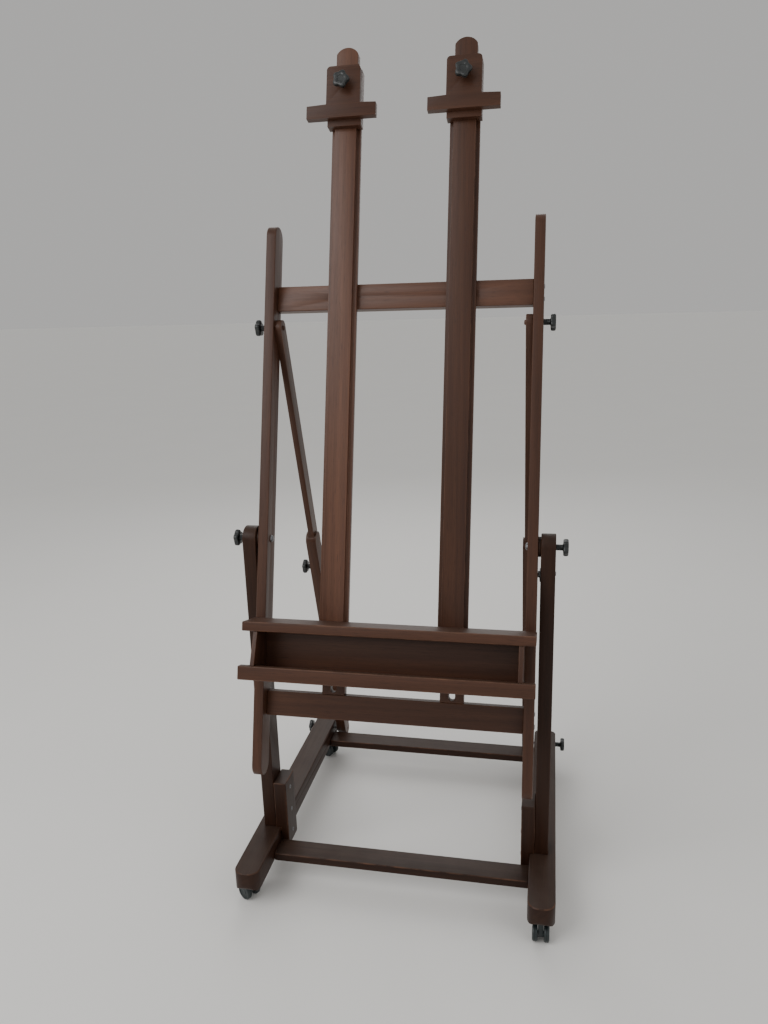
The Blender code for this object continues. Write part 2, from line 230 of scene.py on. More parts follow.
def group_node(tree, name, label):
    """Place one of the shared surface effects, made when first asked for."""
    makers = {"wood_grain": grain_group, "edge_wear": wear_group,
              "settled_dust_and_sheen": dust_and_sheen_group, "moulded_skin": moulded_group}
    group = bpy.data.node_groups.get(name) or makers[name]()
    return add(tree, "ShaderNodeGroup", label, node_tree=group)


def start_material(name):
    """A new material with its tree, its shader and the object coordinates."""
    made = bpy.data.materials.new(name)
    made.use_nodes = True
    tree = made.node_tree
    place = add(tree, "ShaderNodeTexCoord").outputs["Object"]
    return made, tree, tree.nodes["Principled BSDF"], place


def bump(tree, shader, height, strength, distance):
    """Feed a height to the shader's normal."""
    node = add(tree, "ShaderNodeBump")
    feed(tree, node, Strength=strength, Distance=distance, Height=height)
    tree.links.new(node.outputs[0], shader.inputs["Normal"])


def wood_finish(name, turn, light=1.0):
    """Walnut-stained beech under satin varnish; turn brings the grain onto Z; light scales the
    whole stain, and the specular level with it, as painted light and shade for that group of
    pieces.
    """
    known = bpy.data.materials.get(name)
    if known:
        return known
    look = bpy.context.scene.easel_wood
    made, tree, shader, place = start_material(name)
    mapping = add(tree, "ShaderNodeMapping", "grain direction", vector_type="POINT")
    feed(tree, mapping, Vector=place, Rotation=turn)
    place = mapping.outputs[0]
    grain = group_node(tree, "wood_grain", "grain")
    feed(tree, grain, Vector=place, Pore_Amount=look.pores)
    # The stain colours are scaled by light: one walnut stain lightened for lit pieces and darkened
    # for shaded ones, as painted light and shade.
    dark = tuple(value * light for value in look.dark)
    pale = tuple(value * light for value in look.light)
    colour = blend_colour(tree, grain.outputs["Figure"], dark, pale)
    fibre = ramp(tree, grain.outputs["Fibre"], 0.35, 0.7, 0.0, 0.35)
    colour = blend_colour(tree, fibre, colour, tuple(value * 0.62 for value in dark))
    colour = blend_colour(tree, calc(tree, "MULTIPLY", grain.outputs["Pores"], 0.7), colour,
                          tuple(value * 0.3 for value in dark))
    edge = add(tree, "ShaderNodeAttribute", "rounded edges", attribute_name="edge")
    wear = group_node(tree, "edge_wear", "rubbed edges")
    feed(tree, wear, Vector=place, Edge=edge.outputs["Fac"], Amount=look.wear)
    colour = blend_colour(tree, wear.outputs["Wear"], colour, look.rubbed)
    normal = add(tree, "ShaderNodeNewGeometry").outputs["Normal"]
    # Faces turned upwards are mixed towards pale grey-brown: partly dust, partly a painted sheen
    # where the tops catch the light; the dust part also roughens them.
    dust_and_sheen = group_node(tree, "settled_dust_and_sheen", "dust_and_sheen")
    feed(tree, dust_and_sheen, Vector=place, Normal=normal, Amount=look.dust_and_sheen)
    colour = blend_colour(tree, dust_and_sheen.outputs["Dust and sheen"], colour, (0.3, 0.25, 0.21))
    tree.links.new(colour, shader.inputs["Base Color"])
    rough = ramp(tree, grain.outputs["Fibre"], 0.2, 0.8, look.gloss - 0.06, look.gloss + 0.08)
    rough = calc(tree, "ADD", rough, calc(tree, "MULTIPLY", dust_and_sheen.outputs["Dust and sheen"], 0.6))
    tree.links.new(rough, shader.inputs["Roughness"])
    shader.inputs["Specular IOR Level"].default_value = 0.12 + 0.22 * light
    bump(tree, shader, grain.outputs["Height"], 0.35, 0.00025)
    return made


# The last number each of these helpers takes scales the stain as painted light and shade: above 1
# for brightly lit pieces, below 1 for pieces in shade.
def along_x(part, lit_shade_tone):
    """Grain across the easel, as on rails and tray boards."""
    return wood_finish("wood_across_" + part, (0.0, math.radians(-90), 0.0), lit_shade_tone)


def along_runner(part, lit_shade_tone):
    """Grain from front to rear."""
    return wood_finish("wood_lengthwise_" + part, (math.radians(90), 0.0, 0.0), lit_shade_tone)


def upright_grain(part, lit_shade_tone):
    """Grain up and down, as on posts and foot blocks."""
    return wood_finish("wood_upright_" + part, (0.0, 0.0, 0.3), lit_shade_tone)


def along_frame(part, lit_shade_tone, spin=0.0):
    """Grain along the leaning frame."""
    lean = math.atan2(FRAME_UP.y, FRAME_UP.z)
    return wood_finish("wood_leaning_" + part, (lean, 0.0, spin), lit_shade_tone)


def along_brace(part, lit_shade_tone):
    """Grain along the braces."""
    return wood_finish("wood_brace_" + part, (math.atan2(BRACE_UP.y, BRACE_UP.z), 0.0, 0.9), lit_shade_tone)


def plastic_finish(name, colour, gloss, scuffs):
    """Moulded plastic with paler scuffs."""
    known = bpy.data.materials.get(name)
    if known:
        return known
    made, tree, shader, place = start_material(name)
    skin = group_node(tree, "moulded_skin", "moulded skin")
    feed(tree, skin, Vector=place, Scuffs=scuffs)
    scuff = skin.outputs["Scuff"]
    worn = tuple(value * 2.6 + 0.01 for value in colour)
    tree.links.new(blend_colour(tree, scuff, tuple(colour), worn), shader.inputs["Base Color"])
    tree.links.new(ramp(tree, scuff, 0.0, 1.0, gloss, gloss + 0.3), shader.inputs["Roughness"])
    bump(tree, shader, skin.outputs["Height"], 0.25, 0.0001)
    return made


def steel_finish(name, colour, gloss):
    """Darkened steel with drawn lines and an oxide cloud."""
    known = bpy.data.materials.get(name)
    if known:
        return known
    made, tree, shader, place = start_material(name)
    cloud = noise(tree, place, 160.0, 4.0, 0.6, "oxide")
    lines = noise(tree, stretch(tree, place, (300.0, 2600.0, 2600.0)), 1.0, 2.0, 0.5, "drawn")
    paler = tuple(value * 1.7 for value in colour)
    tree.links.new(blend_colour(tree, cloud, tuple(colour), paler), shader.inputs["Base Color"])
    tree.links.new(ramp(tree, lines, 0.3, 0.7, gloss, gloss + 0.18), shader.inputs["Roughness"])
    shader.inputs["Metallic"].default_value = 1.0
    bump(tree, shader, lines, 0.15, 0.00005)
    return made


def knob_plastic():
    """The star knobs."""
    return plastic_finish("knob_black", bpy.context.scene.easel_knobs.colour, 0.34, 0.35)


def caster_plastic():
    """The caster forks and wheels."""
    return plastic_finish("caster_black", bpy.context.scene.easel_casters.colour, 0.42, 0.5)


def bolt_steel():
    """Bolts, pins, stems and caps."""
    return steel_finish("bolt_steel", (0.16, 0.16, 0.165), 0.32)


# ---------------------------------------------------------------- mesh helpers

def to_object(name, made):
    """Turn a bmesh into an object in the scene."""
    mesh = bpy.data.meshes.new(name)
    made.to_mesh(mesh)
    made.free()
    obj = bpy.data.objects.new(name, mesh)
    bpy.context.scene.collection.objects.link(obj)
    return obj


def settle(obj, name):
    """Turn an object and its modifiers into a plain mesh object at the origin."""
    bpy.context.view_layer.update()
    depsgraph = bpy.context.evaluated_depsgraph_get()
    mesh = bpy.data.meshes.new_from_object(obj.evaluated_get(depsgraph))
    obj.modifiers.clear()
    old = obj.data
    obj.data = mesh
    bpy.data.meshes.remove(old)
    obj.name = name
    mesh.name = name
    return obj


def smooth(obj, angle=35.0):
    """Shade smooth, except across edges sharper than the angle in degrees."""
    obj.data.shade_smooth()
    obj.data.set_sharp_from_angle(angle=math.radians(angle))


def mark_edges(mesh, narrow):
    """Store 1 on the narrow faces of rounded edges and 0 on the broad faces."""
    mask = mesh.attributes.new("edge", "FLOAT", "FACE")
    for face in mesh.polygons:
        points = [mesh.vertices[i].co for i in face.vertices]
        outline = sum((points[i] - points[i - 1]).length for i in range(len(points)))
        mask.data[face.index].value = 1.0 if 2.0 * face.area < narrow * outline else 0.0


def attach(obj, body, slot, *nodes):
    """Ride on a body in place of any CAD nodes named; the slot argument is not used."""
    if nodes:
        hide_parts(*nodes)
    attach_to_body(obj, body)
    return obj


def wooden(node, body, finish, radius=1.2):
    """Give a wooden piece rounded arrises and its finish, in place of its CAD node."""
    made = bmesh.new()
    made.from_mesh(frame["nodes"][node].data)
    bmesh.ops.remove_doubles(made, verts=made.verts, dist=0.00002)
    bmesh.ops.dissolve_limit(made, angle_limit=math.radians(0.6), verts=made.verts,
                             edges=made.edges)
    obj = to_object(node + "_wood", made)
    edge = obj.modifiers.new("rounded edges", "BEVEL")
    edge.width = radius * 0.001
    edge.segments = 3
    edge.limit_method = "ANGLE"
    edge.angle_limit = math.radians(28)
    edge.use_clamp_overlap = True
    edge.harden_normals = True
    obj.data.shade_smooth()
    settle(obj, node + "_wood")
    mark_edges(obj.data, radius * 0.0009)
    obj.data.materials.clear()
    obj.data.materials.append(finish)
    return attach(obj, body, "walnut_stained_wood", node)


def lathe(profile, sides=40):
    """Revolve (radius, height) pairs, in millimetres, round Z."""
    made = bmesh.new()
    rings = []
    for radius, height in profile:
        ring = []
        for i in range(sides):
            turn = 2.0 * math.pi * i / sides
            point = Vector((radius * math.cos(turn), radius * math.sin(turn), height)) * 0.001
            ring.append(made.verts.new(point))
        rings.append(ring)
    for low, high in zip(rings, rings[1:]):
        for i in range(sides):
            j = (i + 1) % sides
            made.faces.new((low[i], low[j], high[j], high[i]))
    made.faces.new(rings[0])
    made.faces.new(rings[-1])
    bmesh.ops.recalc_face_normals(made, faces=made.faces)
    return made


def stand(made, point, axis, spin=0.0):
    """Move a mesh made round Z so that it starts at a point and runs along an axis."""
    turn = Vector((0.0, 0.0, 1.0)).rotation_difference(Vector(axis)).to_matrix().to_4x4()
    made.transform(Matrix.Translation(point) @ turn @ Matrix.Rotation(spin, 4, "Z"))


# ------------------------------------------------------------- geometry nodes

def geometry_tree(name, inputs):
    """A Geometry Nodes group with named inputs and one geometry in and out."""
    tree = bpy.data.node_groups.new(name, "GeometryNodeTree")
    tree.interface.new_socket("Geometry", in_out="INPUT", socket_type="NodeSocketGeometry")
    for label, kind, value in inputs:
        socket = tree.interface.new_socket(label, in_out="INPUT", socket_type=kind)
        if value is not None:
            socket.default_value = value
    tree.interface.new_socket("Geometry", in_out="OUTPUT", socket_type="NodeSocketGeometry")
    return tree, add(tree, "NodeGroupInput").outputs, add(tree, "NodeGroupOutput").inputs


def close_tree(tree, geometry, finish, out):
    """Every tree ends in Realize Instances and Set Material."""
    real = add(tree, "GeometryNodeRealizeInstances")
    tree.links.new(geometry, real.inputs[0])
    paint = add(tree, "GeometryNodeSetMaterial")
    tree.links.new(real.outputs[0], paint.inputs["Geometry"])
    tree.links.new(finish, paint.inputs["Material"])
    tree.links.new(paint.outputs[0], out[0])


def lobes_tree():
    """Pushes a round grip's rim in and out so that it becomes a star."""
    tree, given, out = geometry_tree("star_lobes", [
        ("Lobes", "NodeSocketInt", 5), ("Depth", "NodeSocketFloat", 0.0024),
        ("Reach", "NodeSocketFloat", 0.018), ("Material", "NodeSocketMaterial", None)])
    split = add(tree, "ShaderNodeSeparateXYZ")
    tree.links.new(add(tree, "GeometryNodeInputPosition").outputs[0], split.inputs[0])
    x, y = split.outputs["X"], split.outputs["Y"]
    angle = calc(tree, "ARCTAN2", y, x, "angle round the stem")
    wave = calc(tree, "COSINE", calc(tree, "MULTIPLY", angle, given["Lobes"]))
    radius = calc(tree, "SQRT", calc(tree, "ADD", calc(tree, "MULTIPLY", x, x),
                                     calc(tree, "MULTIPLY", y, y)))
    share = calc(tree, "POWER", calc(tree, "DIVIDE", radius, given["Reach"]), 3.0, "rim only")
    push = calc(tree, "MULTIPLY", calc(tree, "MULTIPLY", calc(tree, "SUBTRACT", wave, 1.0),
                                       given["Depth"]), share)
    scale = calc(tree, "DIVIDE", push, calc(tree, "MAXIMUM", radius, 0.0001))
    offset = add(tree, "ShaderNodeCombineXYZ")
    tree.links.new(calc(tree, "MULTIPLY", x, scale), offset.inputs["X"])
    tree.links.new(calc(tree, "MULTIPLY", y, scale), offset.inputs["Y"])
    move = add(tree, "GeometryNodeSetPosition")
    tree.links.new(given["Geometry"], move.inputs["Geometry"])
    tree.links.new(offset.outputs[0], move.inputs["Offset"])
    close_tree(tree, move.outputs[0], given["Material"], out)
    return tree


def thread_tree():
    """A screw's stem along Z: a line whose radius steps in and out once for each turn."""
    tree, given, out = geometry_tree("screw_thread", [
        ("Length", "NodeSocketFloat", 0.02), ("Pitch", "NodeSocketFloat", 0.00125),
        ("Crest", "NodeSocketFloat", 0.003), ("Root", "NodeSocketFloat", 0.0026),
        ("Material", "NodeSocketMaterial", None)])
    end = add(tree, "ShaderNodeCombineXYZ")
    tree.links.new(given["Length"], end.inputs["Z"])
    line = add(tree, "GeometryNodeCurvePrimitiveLine")
    tree.links.new(end.outputs[0], line.inputs["End"])
    steps = add(tree, "GeometryNodeResampleCurve", mode="COUNT")
    count = calc(tree, "MULTIPLY", calc(tree, "DIVIDE", given["Length"], given["Pitch"]), 2.0)
    tree.links.new(line.outputs[0], steps.inputs["Curve"])
    tree.links.new(calc(tree, "ADD", count, 1.0), steps.inputs["Count"])
    index = add(tree, "GeometryNodeInputIndex").outputs[0]
    odd = calc(tree, "MODULO", index, 2.0, "crest or root")
    depth = calc(tree, "SUBTRACT", given["Crest"], given["Root"])
    radius = calc(tree, "ADD", given["Root"], calc(tree, "MULTIPLY", odd, depth))
    ring = add(tree, "GeometryNodeCurvePrimitiveCircle")
    ring.inputs["Resolution"].default_value = 20
    ring.inputs["Radius"].default_value = 1.0
    stem = add(tree, "GeometryNodeCurveToMesh")
    tree.links.new(steps.outputs[0], stem.inputs["Curve"])
    tree.links.new(radius, stem.inputs["Scale"])
    tree.links.new(ring.outputs[0], stem.inputs["Profile Curve"])
    stem.inputs["Fill Caps"].default_value = True
    close_tree(tree, stem.outputs[0], given["Material"], out)
    return tree


def heads_tree():
    """One socket-headed bolt cap on each point, facing the way the point's aim says."""
    tree, given, out = geometry_tree("bolt_heads", [
        ("Head Radius", "NodeSocketFloat", 0.005), ("Head Height", "NodeSocketFloat", 0.0012),
        ("Socket Radius", "NodeSocketFloat", 0.0022), ("Material", "NodeSocketMaterial", None)])
    cap = add(tree, "GeometryNodeMeshCone", "cap")
    cap.inputs["Vertices"].default_value = 28
    tree.links.new(calc(tree, "MULTIPLY", given["Head Radius"], 0.8), cap.inputs["Radius Top"])
    tree.links.new(given["Head Radius"], cap.inputs["Radius Bottom"])
    tree.links.new(given["Head Height"], cap.inputs["Depth"])
    hexagon = add(tree, "GeometryNodeMeshCylinder", "key socket")
    hexagon.inputs["Vertices"].default_value = 6
    tree.links.new(given["Socket Radius"], hexagon.inputs["Radius"])
    tree.links.new(calc(tree, "MULTIPLY", given["Head Height"], 1.2), hexagon.inputs["Depth"])
    lift = add(tree, "GeometryNodeTransform")
    rise = add(tree, "ShaderNodeCombineXYZ")
    tree.links.new(calc(tree, "MULTIPLY", given["Head Height"], 0.75), rise.inputs["Z"])
    tree.links.new(hexagon.outputs["Mesh"], lift.inputs["Geometry"])
    tree.links.new(rise.outputs[0], lift.inputs["Translation"])
    bore = add(tree, "GeometryNodeMeshBoolean", "recess", operation="DIFFERENCE")
    tree.links.new(cap.outputs["Mesh"], bore.inputs["Mesh 1"])
    tree.links.new(lift.outputs[0], bore.inputs["Mesh 2"])
    aim = add(tree, "GeometryNodeInputNamedAttribute", data_type="FLOAT_VECTOR")
    aim.inputs["Name"].default_value = "aim"
    turn = add(tree, "FunctionNodeAlignRotationToVector", axis="Z")
    tree.links.new(aim.outputs["Attribute"], turn.inputs["Vector"])
    copies = add(tree, "GeometryNodeInstanceOnPoints")
    tree.links.new(given["Geometry"], copies.inputs["Points"])
    tree.links.new(bore.outputs["Mesh"], copies.inputs["Instance"])
    tree.links.new(turn.outputs[0], copies.inputs["Rotation"])
    close_tree(tree, copies.outputs[0], given["Material"], out)
    return tree


def run_tree(obj, name, maker, **values):
    """Put a geometry tree on an object, fill its inputs and apply the result."""
    tree = bpy.data.node_groups.get(name) or maker()
    change = obj.modifiers.new(name, "NODES")
    change.node_group = tree
    sockets = {item.name: item.identifier for item in tree.interface.items_tree
               if item.in_out == "INPUT"}
    for key, value in values.items():
        change[sockets[key.replace("_", " ")]] = value
    return settle(obj, obj.name)


# -------------------------------------------------------------------- settings

class EASEL_PG_wood(bpy.types.PropertyGroup):
    dark: bpy.props.FloatVectorProperty(
        name="Dark stain", description="Colour of the dense grain", subtype="COLOR", size=3,
        default=(0.056, 0.022, 0.0125), min=0.0, max=1.0)
    light: bpy.props.FloatVectorProperty(
        name="Light stain", description="Colour of the open grain", subtype="COLOR", size=3,
        default=(0.125, 0.052, 0.028), min=0.0, max=1.0)
    rubbed: bpy.props.FloatVectorProperty(
        name="Rubbed edge", description="Colour where handling has thinned the stain",
        subtype="COLOR", size=3, default=(0.19, 0.085, 0.046), min=0.0, max=1.0)
    pores: bpy.props.FloatProperty(
        name="Pores", description="How strongly the pores show", subtype="FACTOR",
        default=0.55, min=0.0, max=1.0)
    wear: bpy.props.FloatProperty(
        name="Edge wear", description="How far the edges are rubbed", subtype="FACTOR",
        default=0.5, min=0.0, max=1.0)
    # How much dust and painted greyish sheen lies on faces turned upwards.
    dust_and_sheen: bpy.props.FloatProperty(
        name="Dust and sheen", description="Dust on faces turned upwards", subtype="FACTOR",
        default=0.08, min=0.0, max=1.0)
    gloss: bpy.props.FloatProperty(
        name="Varnish roughness", description="Middle roughness of the satin varnish",
        subtype="FACTOR", default=0.4, min=0.1, max=1.0)


class EASEL_PG_knobs(bpy.types.PropertyGroup):
    lobes: bpy.props.IntProperty(
        name="Lobes", description="Lobes round each star knob", default=5, min=3, max=9)
    depth: bpy.props.FloatProperty(
        name="Lobe depth", description="Half the depth of the valleys between lobes",
        unit="LENGTH", default=0.0018, min=0.0, max=0.005)
    colour: bpy.props.FloatVectorProperty(
        name="Knob colour", description="Colour of the moulded knobs", subtype="COLOR", size=3,
        default=(0.012, 0.014, 0.014), min=0.0, max=1.0)


class EASEL_PG_casters(bpy.types.PropertyGroup):
    groove: bpy.props.FloatProperty(
        name="Tread groove", description="Depth of the groove round each wheel",
        unit="LENGTH", default=0.0008, min=0.0, max=0.002)
    colour: bpy.props.FloatVectorProperty(
        name="Caster colour", description="Colour of forks and wheels", subtype="COLOR", size=3,
        default=(0.010, 0.016, 0.017), min=0.0, max=1.0)


class EASEL_PG_stage(bpy.types.PropertyGroup):
    floor: bpy.props.FloatVectorProperty(
        name="Floor colour", description="Colour of the plain floor", subtype="COLOR", size=3,
        default=(0.80, 0.785, 0.76), min=0.0, max=1.0)
    key: bpy.props.FloatProperty(
        name="Key light", description="Power of the large front light", unit="POWER",
        default=60.0, min=0.0)
    lens: bpy.props.FloatProperty(
        name="Lens", description="Focal length of the camera", unit="CAMERA",
        default=28.53, min=10.0)


# --------------------------------------------------------------------- pieces

class EASEL_OT_base(bpy.types.Operator):
    """Runners, cross rails, posts, foot blocks and pivot spacers of the base"""
    bl_idname = "easel.base"
    bl_label = "Base woodwork"

    def execute(self, context):
        # The tone of 0.34 is painted shade: it darkens the whole base, which stands low in shade.
        for side, _ in SIDES:
            wooden("runner_" + side, "base", along_runner("base", 0.34), 2.0)
            wooden("post_" + side, "base", upright_grain("base", 0.34), 1.4)
            wooden("block_" + side, "base", upright_grain("base", 0.34), 1.2)
            wooden("spacer_" + side, "base", upright_grain("base", 0.34), 0.5)
        wooden("crossbar_front", "base", along_x("base", 0.34), 1.4)
        wooden("crossbar_rear", "base", along_x("base", 0.34), 1.4)
        return {"FINISHED"}


class EASEL_OT_tilting_frame(bpy.types.Operator):
    """Uprights, cross rails and slotted guide rails of the tilting frame"""
    bl_idname = "easel.tilting_frame"
    bl_label = "Tilting frame"

    def execute(self, context):
        # These tones are painted light and shade on one stain: 1.1 lightens the top crossbar as
        # better lit, 0.72 and 0.75 darken the uprights, rails and bottom rail.
        for side, _ in SIDES:
            wooden("upright_" + side, "tilt_frame", along_frame("frame", 0.72), 1.2)
            wooden("rail_" + side, "tilt_frame", along_frame("frame", 0.72), 0.7)
        wooden("top_crossbar", "tilt_frame", along_x("top", 1.1), 1.2)
        wooden("bottom_crossbar", "tilt_frame", along_x("tray", 0.75), 1.2)
        return {"FINISHED"}


class EASEL_OT_masts(bpy.types.Operator):
    """The two masts and the canvas holders that slide on them"""
    bl_idname = "easel.masts"
    bl_label = "Masts and holders"

    def execute(self, context):
        # The left mast's tone of 1.1 and the right mast's 0.72 are painted light and shade: one
        # stain, with the left mast lit and the right one shaded.
        for (side, _), lit_shade_tone, spin in zip(SIDES, (1.1, 0.72), (0.4, 1.1)):
            wooden("mast_" + side, "mast_" + side, along_frame("mast_" + side, lit_shade_tone, spin), 0.9)
            wooden("holder_" + side, "holder_" + side, along_x("holder", 0.72), 1.2)
        return {"FINISHED"}


class EASEL_OT_tray(bpy.types.Operator):
    """Ledge, lip, boards, end panels and carriages of the tray"""
    bl_idname = "easel.tray"
    bl_label = "Tray"

    def execute(self, context):
        # The tones of 0.75 and 0.72 here are painted light and shade on the same walnut stain.
        for node in ("tray_ledge", "tray_lip", "tray_back", "tray_bottom"):
            wooden(node, "tray", along_x("tray", 0.75), 1.3)
        for side, _ in SIDES:
            wooden("tray_end_" + side, "tray", along_frame("frame", 0.72), 0.7)
            wooden("carriage_" + side, "tray", along_x("tray", 0.75), 0.9)
        return {"FINISHED"}


class EASEL_OT_braces(bpy.types.Operator):
    """Upper and lower links of the telescoping rear braces"""
    bl_idname = "easel.braces"
    bl_label = "Rear braces"

    def execute(self, context):
        # The tone of 0.75 here is painted light and shade on the same walnut stain.
        for side, _ in SIDES:
            wooden("upper_link_" + side, "upper_link_" + side, along_brace("brace", 0.75), 1.1)
            wooden("lower_link_" + side, "lower_link_" + side, along_brace("brace", 0.75), 1.1)
        return {"FINISHED"}


def knob_places():
    """Yield each knob's node, body, seat, outward axis and screw length in metres."""
    for side, sign in SIDES:
        out = Vector((sign, 0.0, 0.0))
        for kind, screw in (("pivot_knob_", 0.0), ("upper_knob_", 0.0208), ("mid_knob_", 0.0074),
                            ("rear_knob_", 0.088)):
            node = kind + side
            low, high = (Vector(corner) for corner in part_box(node))
            seat = (low + high) / 2
            seat.x = (low.x + screw) if sign > 0 else (high.x - screw)
            joint = Vector(JOINTS[node + "_turn"]["pos_m"])
            yield node, Vector((seat.x, joint.y, joint.z)), out, screw
        for kind, screw, sense in (("holder_knob_", 0.0279, -1.0), ("mast_knob_", 0.028, 1.0),
                                   ("carriage_knob_", 0.033, 1.0)):
            node = kind + side
            out = FRAME_BACK * sense
            joint = Vector(JOINTS[node + "_turn"]["pos_m"])
            points = [vertex.co for vertex in frame["nodes"][node].data.vertices]
            start = min((point - joint).dot(out) for point in points)
            yield node, joint + out * (start + screw), out, screw


class EASEL_OT_knobs(bpy.types.Operator):
    """Star knobs, their hubs and their threaded stems"""
    bl_idname = "easel.knobs"
    bl_label = "Star knobs"

    def execute(self, context):
        look = context.scene.easel_knobs
        hub = [(5.6, 0.0), (6.4, 0.6), (6.4, 12.2), (7.4, 13.6)]
        rim = [(15.4, 14.1), (17.2, 14.7), (18.1, 15.9), (18.4, 17.6), (18.4, 21.2),
               (18.0, 22.9), (17.0, 24.1), (15.4, 24.75), (12.0, 24.95)]
        face = [(7.2, 24.9), (6.6, 24.4), (6.3, 23.9), (2.0, 23.8)]
        for node, seat, out, screw in knob_places():
            grip = to_object(node + "_grip", lathe(hub + rim + face, 100))
            run_tree(grip, "star_lobes", lobes_tree, Lobes=look.lobes, Depth=look.depth,
                     Reach=0.018, Material=knob_plastic())
            made = bmesh.new()
            made.from_mesh(grip.data)
            stand(made, seat, out)
            made.to_mesh(grip.data)
            made.free()
            smooth(grip, 40)
            attach(grip, node, "black_plastic", node)
            if screw:
                stem = to_object(node + "_stem", bmesh.new())
                run_tree(stem, "screw_thread", thread_tree, Length=screw + 0.002,
                         Pitch=0.00125, Crest=0.003, Root=0.00258, Material=bolt_steel())
                made = bmesh.new()
                made.from_mesh(stem.data)
                stand(made, seat + out * 0.002, -out)
                bmesh.ops.recalc_face_normals(made, faces=made.faces)
                made.to_mesh(stem.data)
                made.free()
                attach(stem, node, "dark_steel")
        return {"FINISHED"}


class EASEL_OT_pivots(bpy.types.Operator):
    """Domed pivot bolts, stop pins and the caps on the bolted frame joints"""
    bl_idname = "easel.pivots"
    bl_label = "Pivots and bolts"

    def execute(self, context):
        for side, sign in SIDES:
            out = Vector((sign, 0.0, 0.0))
            low, high = (Vector(corner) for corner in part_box("pivot_bolt_" + side))
            start = Vector((low.x if sign > 0 else high.x, PIVOT.y, PIVOT.z))
            dome = [(1.5, 0.0), (3.6, 0.3), (5.6, 1.1), (7.1, 2.4), (7.9, 4.1), (7.9, 4.9),
                    (4.0, 4.9), (4.0, 71.2), (3.2, 72.0)]
            bolt = lathe(dome, 40)
            stand(bolt, start, out)
            bmesh.ops.recalc_face_normals(bolt, faces=bolt.faces)
            bolt = to_object("pivot_bolt_" + side + "_dome", bolt)
            smooth(bolt, 40)
            bolt.data.materials.append(bolt_steel())
            attach(bolt, "base", "dark_steel", "pivot_bolt_" + side)
            node = "stop_pin_" + side
            low, high = (Vector(corner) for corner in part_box(node))
            length = (high.x - low.x) * 1000.0
            pin = lathe([(4.0, 0.0), (4.9, 0.8), (4.9, length - 1.2), (3.8, length)], 32)
            middle = (low + high) / 2
            stand(pin, Vector((low.x if sign > 0 else high.x, middle.y, middle.z)), out)
            bmesh.ops.recalc_face_normals(pin, faces=pin.faces)
            pin = to_object(node + "_turned", pin)
            smooth(pin, 40)
            pin.data.materials.append(bolt_steel())
            attach(pin, "base", "dark_steel", node)
        self.heads("frame_bolts", "tilt_frame", self.frame_points())
        self.heads("tray_screws", "tray", self.tray_points())
        self.heads("base_screws", "base", self.base_points())
        return {"FINISHED"}

    def heads(self, name, body, points):
        """Caps at (place, direction) pairs, riding on one body."""
        mesh = bpy.data.meshes.new(name)
        mesh.from_pydata([point for point, _ in points], [], [])
        aim = mesh.attributes.new("aim", "FLOAT_VECTOR", "POINT")
        for number, (_, way) in enumerate(points):
            aim.data[number].vector = way
        obj = bpy.data.objects.new(name, mesh)
        bpy.context.scene.collection.objects.link(obj)
        run_tree(obj, "bolt_heads", heads_tree, Head_Radius=0.0048, Head_Height=0.0014,
                 Socket_Radius=0.0022, Material=bolt_steel())
        smooth(obj, 30)
        attach(obj, body, "dark_steel")

    def frame_points(self):
        """Two bolts through each upright into the end of each cross rail."""
        points = []
        for side, sign in SIDES:
            low, high = (Vector(corner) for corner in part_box("upright_" + side))
            x = high.x if sign > 0 else low.x
            for node in ("top_crossbar", "bottom_crossbar"):
                low, high = (Vector(corner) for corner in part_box(node))
                middle = (low + high) / 2
                for step in (-0.013, 0.013):
                    place = Vector((x, middle.y, middle.z)) + FRAME_UP * step
                    points.append((place, Vector((sign, 0.0, 0.0))))
        return points

    def tray_points(self):
        """Screws in from behind the tray's back board, in two rows."""
        points = []
        low, high = (Vector(corner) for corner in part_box("tray_back"))
        middle = (low + high) / 2
        rear = max((vertex.co - middle).dot(FRAME_BACK)
                   for vertex in frame["nodes"]["tray_back"].data.vertices)
        for x in (-0.24, -0.06, 0.06, 0.24):
            for step in (-0.041, 0.041):
                place = Vector((x, middle.y, middle.z)) + FRAME_BACK * rear + FRAME_UP * step
                points.append((place, FRAME_BACK))
        return points

    def base_points(self):
        """Caps on the inner faces of the foot blocks and under the cross rails."""
        points = []
        for side, sign in SIDES:
            low, high = (Vector(corner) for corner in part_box("block_" + side))
            x = low.x if sign > 0 else high.x
            middle = (low + high) / 2
            for z in (0.078, 0.135, 0.195):
                points.append((Vector((x, middle.y, z)), Vector((-sign, 0.0, 0.0))))
        for node in ("crossbar_front", "crossbar_rear"):
            low, high = (Vector(corner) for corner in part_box(node))
            for x in (-0.27, 0.27):
                points.append((Vector((x, (low.y + high.y) / 2, low.z)), Vector((0.0, 0.0, -1.0))))
        return points


